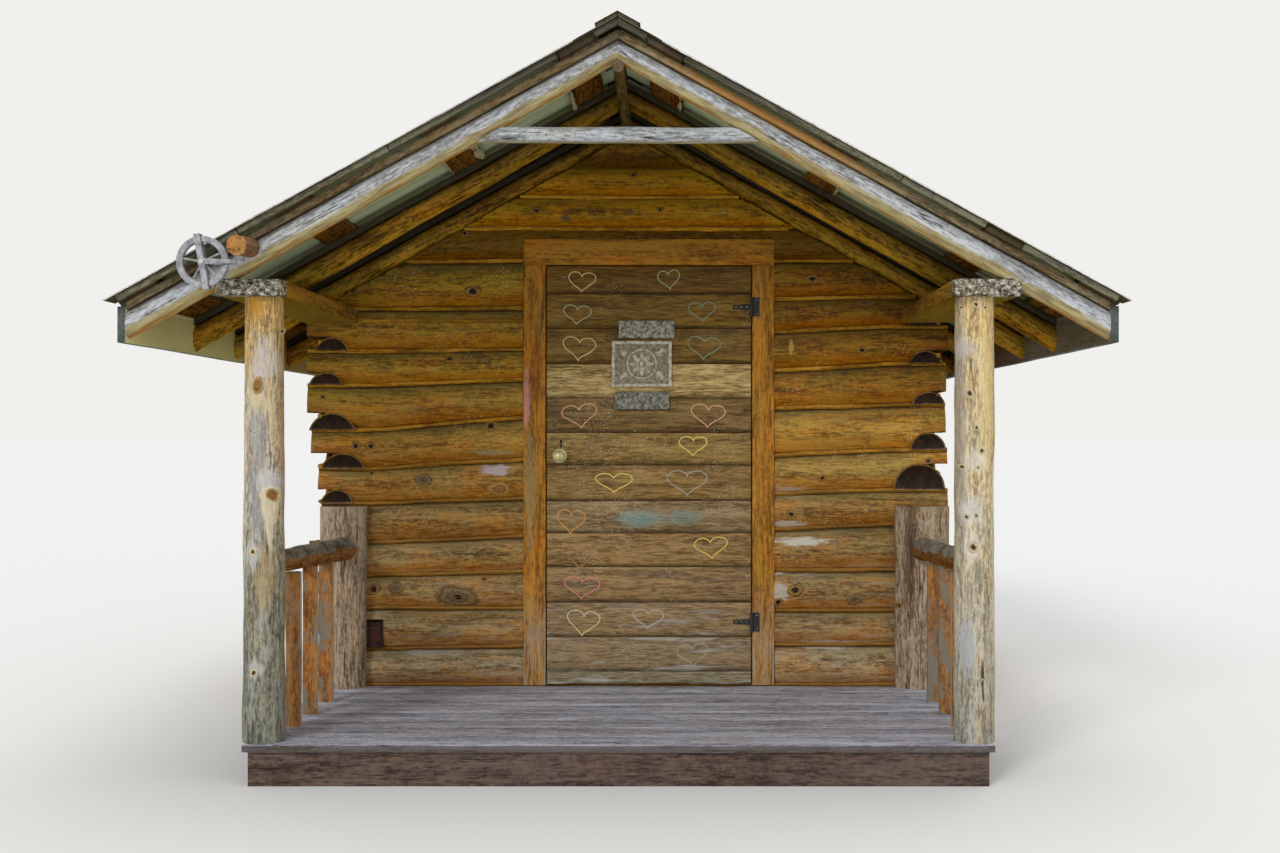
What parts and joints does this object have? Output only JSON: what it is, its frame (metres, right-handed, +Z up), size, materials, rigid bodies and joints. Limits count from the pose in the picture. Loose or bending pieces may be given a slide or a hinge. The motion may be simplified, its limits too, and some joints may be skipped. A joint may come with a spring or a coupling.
{
  "type": "log cabin with porch",
  "caption": "Small log cabin with saddle-notched corners, a boarded door, a porch with posts and rails, and a ribbed metal gable roof; a pulley hangs at the verge.",
  "frame": {"origin": "on the ground in the middle of the cabin's floor plan, on the underside of the middle floor joist", "axes": "+Z up, the door and porch face -Y, +X to the right as seen from the front"},
  "size_m": [3.644, 4.2638, 2.7598],
  "materials": {
    "wall_log": "satin",
    "gable_log": "satin",
    "floor_wood": "matte",
    "deck_wood": "matte",
    "frame_wood": "satin",
    "door_wood": "satin",
    "hinge_iron": "matte",
    "knob_brass": "satin",
    "plaque_stone": "matte",
    "post_wood": "matte",
    "rail_post_wood": "matte",
    "rail_wood": "matte",
    "beam_wood": "matte",
    "rafter_wood": "matte",
    "roof_board": "matte",
    "sheet_metal": "satin",
    "ridge_metal": "matte",
    "fascia_wood": "matte",
    "peg_wood": "matte",
    "hook_steel": "satin",
    "pulley_alloy": "matte"
  },
  "bodies": {
    "cabin": {"front_sill_log": "wall_log", "front_wall_left": "wall_log", "front_wall_right": "wall_log", "front_gable": "gable_log", "back_wall": "wall_log", "back_gable": "gable_log", "left_wall": "wall_log", "right_wall": "wall_log", "floor_joists": "floor_wood", "floor_boards": "floor_wood", "deck_joists": "deck_wood", "deck_skirts": "deck_wood", "deck_boards": "deck_wood", "door_frame": "frame_wood", "door_hinge_plates": "hinge_iron", "porch_posts": "post_wood", "rail_posts": "rail_post_wood", "porch_rails": "rail_wood", "balusters": "rail_wood", "porch_beams": "beam_wood", "rafters_left": "rafter_wood", "rafters_right": "rafter_wood", "rafter_caps_left": "roof_board", "rafter_caps_right": "roof_board", "purlins_left": "roof_board", "purlins_right": "roof_board", "roof_sheet_left": "sheet_metal", "roof_sheet_right": "sheet_metal", "ridge_cap": "ridge_metal", "ridge_pole": "rafter_wood", "collar_tie": "rafter_wood", "fascia_boards": "fascia_wood", "pulley_peg": "peg_wood", "pulley_hook": "hook_steel"},
    "door": {"door_boards": "door_wood", "door_battens": "door_wood", "door_hinge_straps": "hinge_iron", "knob_roses": "knob_brass", "door_signs": "plaque_stone", "relief_plaque": "plaque_stone"},
    "knob": {"door_knob": "knob_brass"},
    "pulley_block": {"pulley_frame": "pulley_alloy", "pulley_axle": "hook_steel"},
    "pulley_sheave": {"pulley_wheel": "pulley_alloy"}
  },
  "joints": [
    {"name": "door_swing", "type": "hinge", "parent": "cabin", "child": "door", "pos_m": [0.54275, -1.2958, 0], "axis": [0, 0, 1], "range_deg": [0, 110]},
    {"name": "knob_turn", "type": "hinge", "parent": "door", "child": "knob", "pos_m": [-0.3085, -1.288, 1.172], "axis": [0, 1, 0], "range_deg": [-60, 60], "stiffness_Nm_per_rad": 0.5},
    {"name": "pulley_swing", "type": "hinge", "parent": "cabin", "child": "pulley_block", "pos_m": [-1.309, -2.6, 1.877], "axis": [0, -1, 0], "range_deg": [0, 100]},
    {"name": "sheave_spin", "type": "hinge", "parent": "pulley_block", "child": "pulley_sheave", "pos_m": [-1.45, -2.6, 1.869], "axis": [0, 1, 0], "continuous": true}
  ]
}
